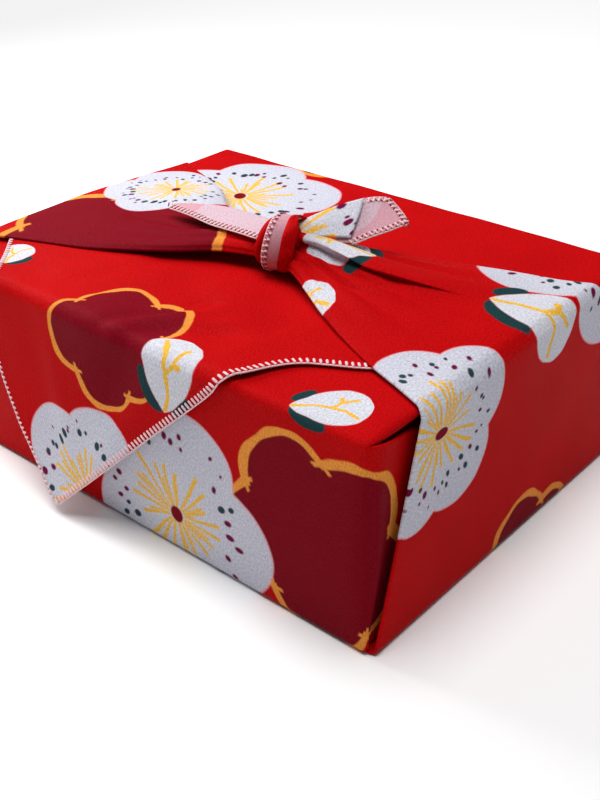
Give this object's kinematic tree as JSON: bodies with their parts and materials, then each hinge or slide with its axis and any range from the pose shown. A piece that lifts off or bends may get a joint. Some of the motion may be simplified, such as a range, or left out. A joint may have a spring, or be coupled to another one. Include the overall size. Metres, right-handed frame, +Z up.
{
  "type": "furoshiki wrap",
  "caption": "Square wrapping cloth folded round a low box shape and tied in a square knot on top, red crepe printed with plum blossom.",
  "frame": {"origin": "middle of the flat underside, on the surface the wrap rests on", "axes": "+Z up; +Y along the long sides, the way the tied corners run; the hanging fold is on the -X side"},
  "size_m": [0.2231, 0.2758, 0.1313],
  "materials": {
    "red_crepe": "soft crepe"
  },
  "bodies": {
    "root": {"furoshiki_cloth": "red_crepe"}
  },
  "joints": []
}
